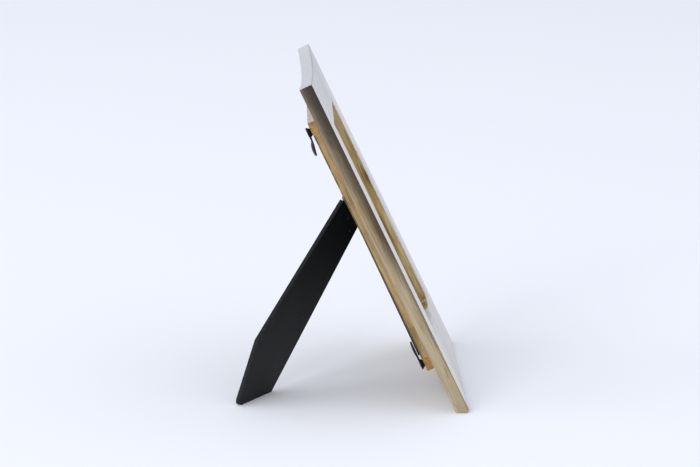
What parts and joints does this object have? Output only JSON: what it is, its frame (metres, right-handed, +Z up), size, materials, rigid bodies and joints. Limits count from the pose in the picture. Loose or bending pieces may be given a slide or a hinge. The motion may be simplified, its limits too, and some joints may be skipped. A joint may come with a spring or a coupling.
{
  "type": "picture frame",
  "caption": "Small wooden picture frame with a concave top edge, rectangular window, rear slat frame, turn buttons and a skewed folding easel leg.",
  "frame": {"origin": "middle of the board's level foot face, on the table", "axes": "+Z up, the picture faces -Y and leans back towards +Y, +X to the viewer's right"},
  "size_m": [0.165, 0.1406, 0.201],
  "materials": {
    "white_painted_board": "worn matt white paint on the face and ends, bare brown wood on the long sides",
    "pine": "bare planed pine",
    "clear_glass": "polished",
    "white_paper": "smooth matt",
    "grey_card": "uncoated grey board",
    "black_hardboard": "black paper faced hardboard, matt",
    "black_steel": "black lacquer, satin",
    "dark_steel": "blackened steel, satin",
    "bright_steel": "bright drawn wire"
  },
  "bodies": {
    "frame": {"front_board": "white_painted_board", "rear_slat_left": "pine", "rear_slat_right": "pine", "rear_slat_top": "pine", "rear_slat_bottom": "pine", "slat_nails": "bright_steel", "button_screws": "dark_steel", "glass_pane": "clear_glass", "blank_print": "white_paper", "filler_card": "grey_card", "back_panel": "black_hardboard", "hinge_leaf_panel": "dark_steel", "panel_rivets": "dark_steel", "hinge_pin": "dark_steel"},
    "leg": {"easel_leg": "black_hardboard", "hinge_leaf_leg": "dark_steel", "leg_rivets": "dark_steel"},
    "button_upper_left": {"turn_button_upper_left": "black_steel"},
    "button_upper_right": {"turn_button_upper_right": "black_steel"},
    "button_lower_left": {"turn_button_lower_left": "black_steel"},
    "button_lower_right": {"turn_button_lower_right": "black_steel"}
  },
  "joints": [
    {"name": "leg_fold", "type": "hinge", "parent": "frame", "child": "leg", "pos_m": [0.0064, 0.06312, 0.1076], "axis": [-0.7071, 0.2961, 0.6421], "range_deg": [0, 48]},
    {"name": "button_upper_left_swivel", "type": "hinge", "parent": "frame", "child": "button_upper_left", "pos_m": [-0.0555, 0.08879, 0.16797], "axis": [0, 0.9033, -0.4289], "continuous": true},
    {"name": "button_upper_right_swivel", "type": "hinge", "parent": "frame", "child": "button_upper_right", "pos_m": [0.054, 0.08977, 0.17005], "axis": [0, 0.9033, -0.4289], "continuous": true},
    {"name": "button_lower_left_swivel", "type": "hinge", "parent": "frame", "child": "button_lower_left", "pos_m": [-0.054, 0.02046, 0.02407], "axis": [0, 0.9033, -0.4289], "continuous": true},
    {"name": "button_lower_right_swivel", "type": "hinge", "parent": "frame", "child": "button_lower_right", "pos_m": [0.054, 0.02046, 0.02407], "axis": [0, 0.9033, -0.4289], "continuous": true}
  ]
}
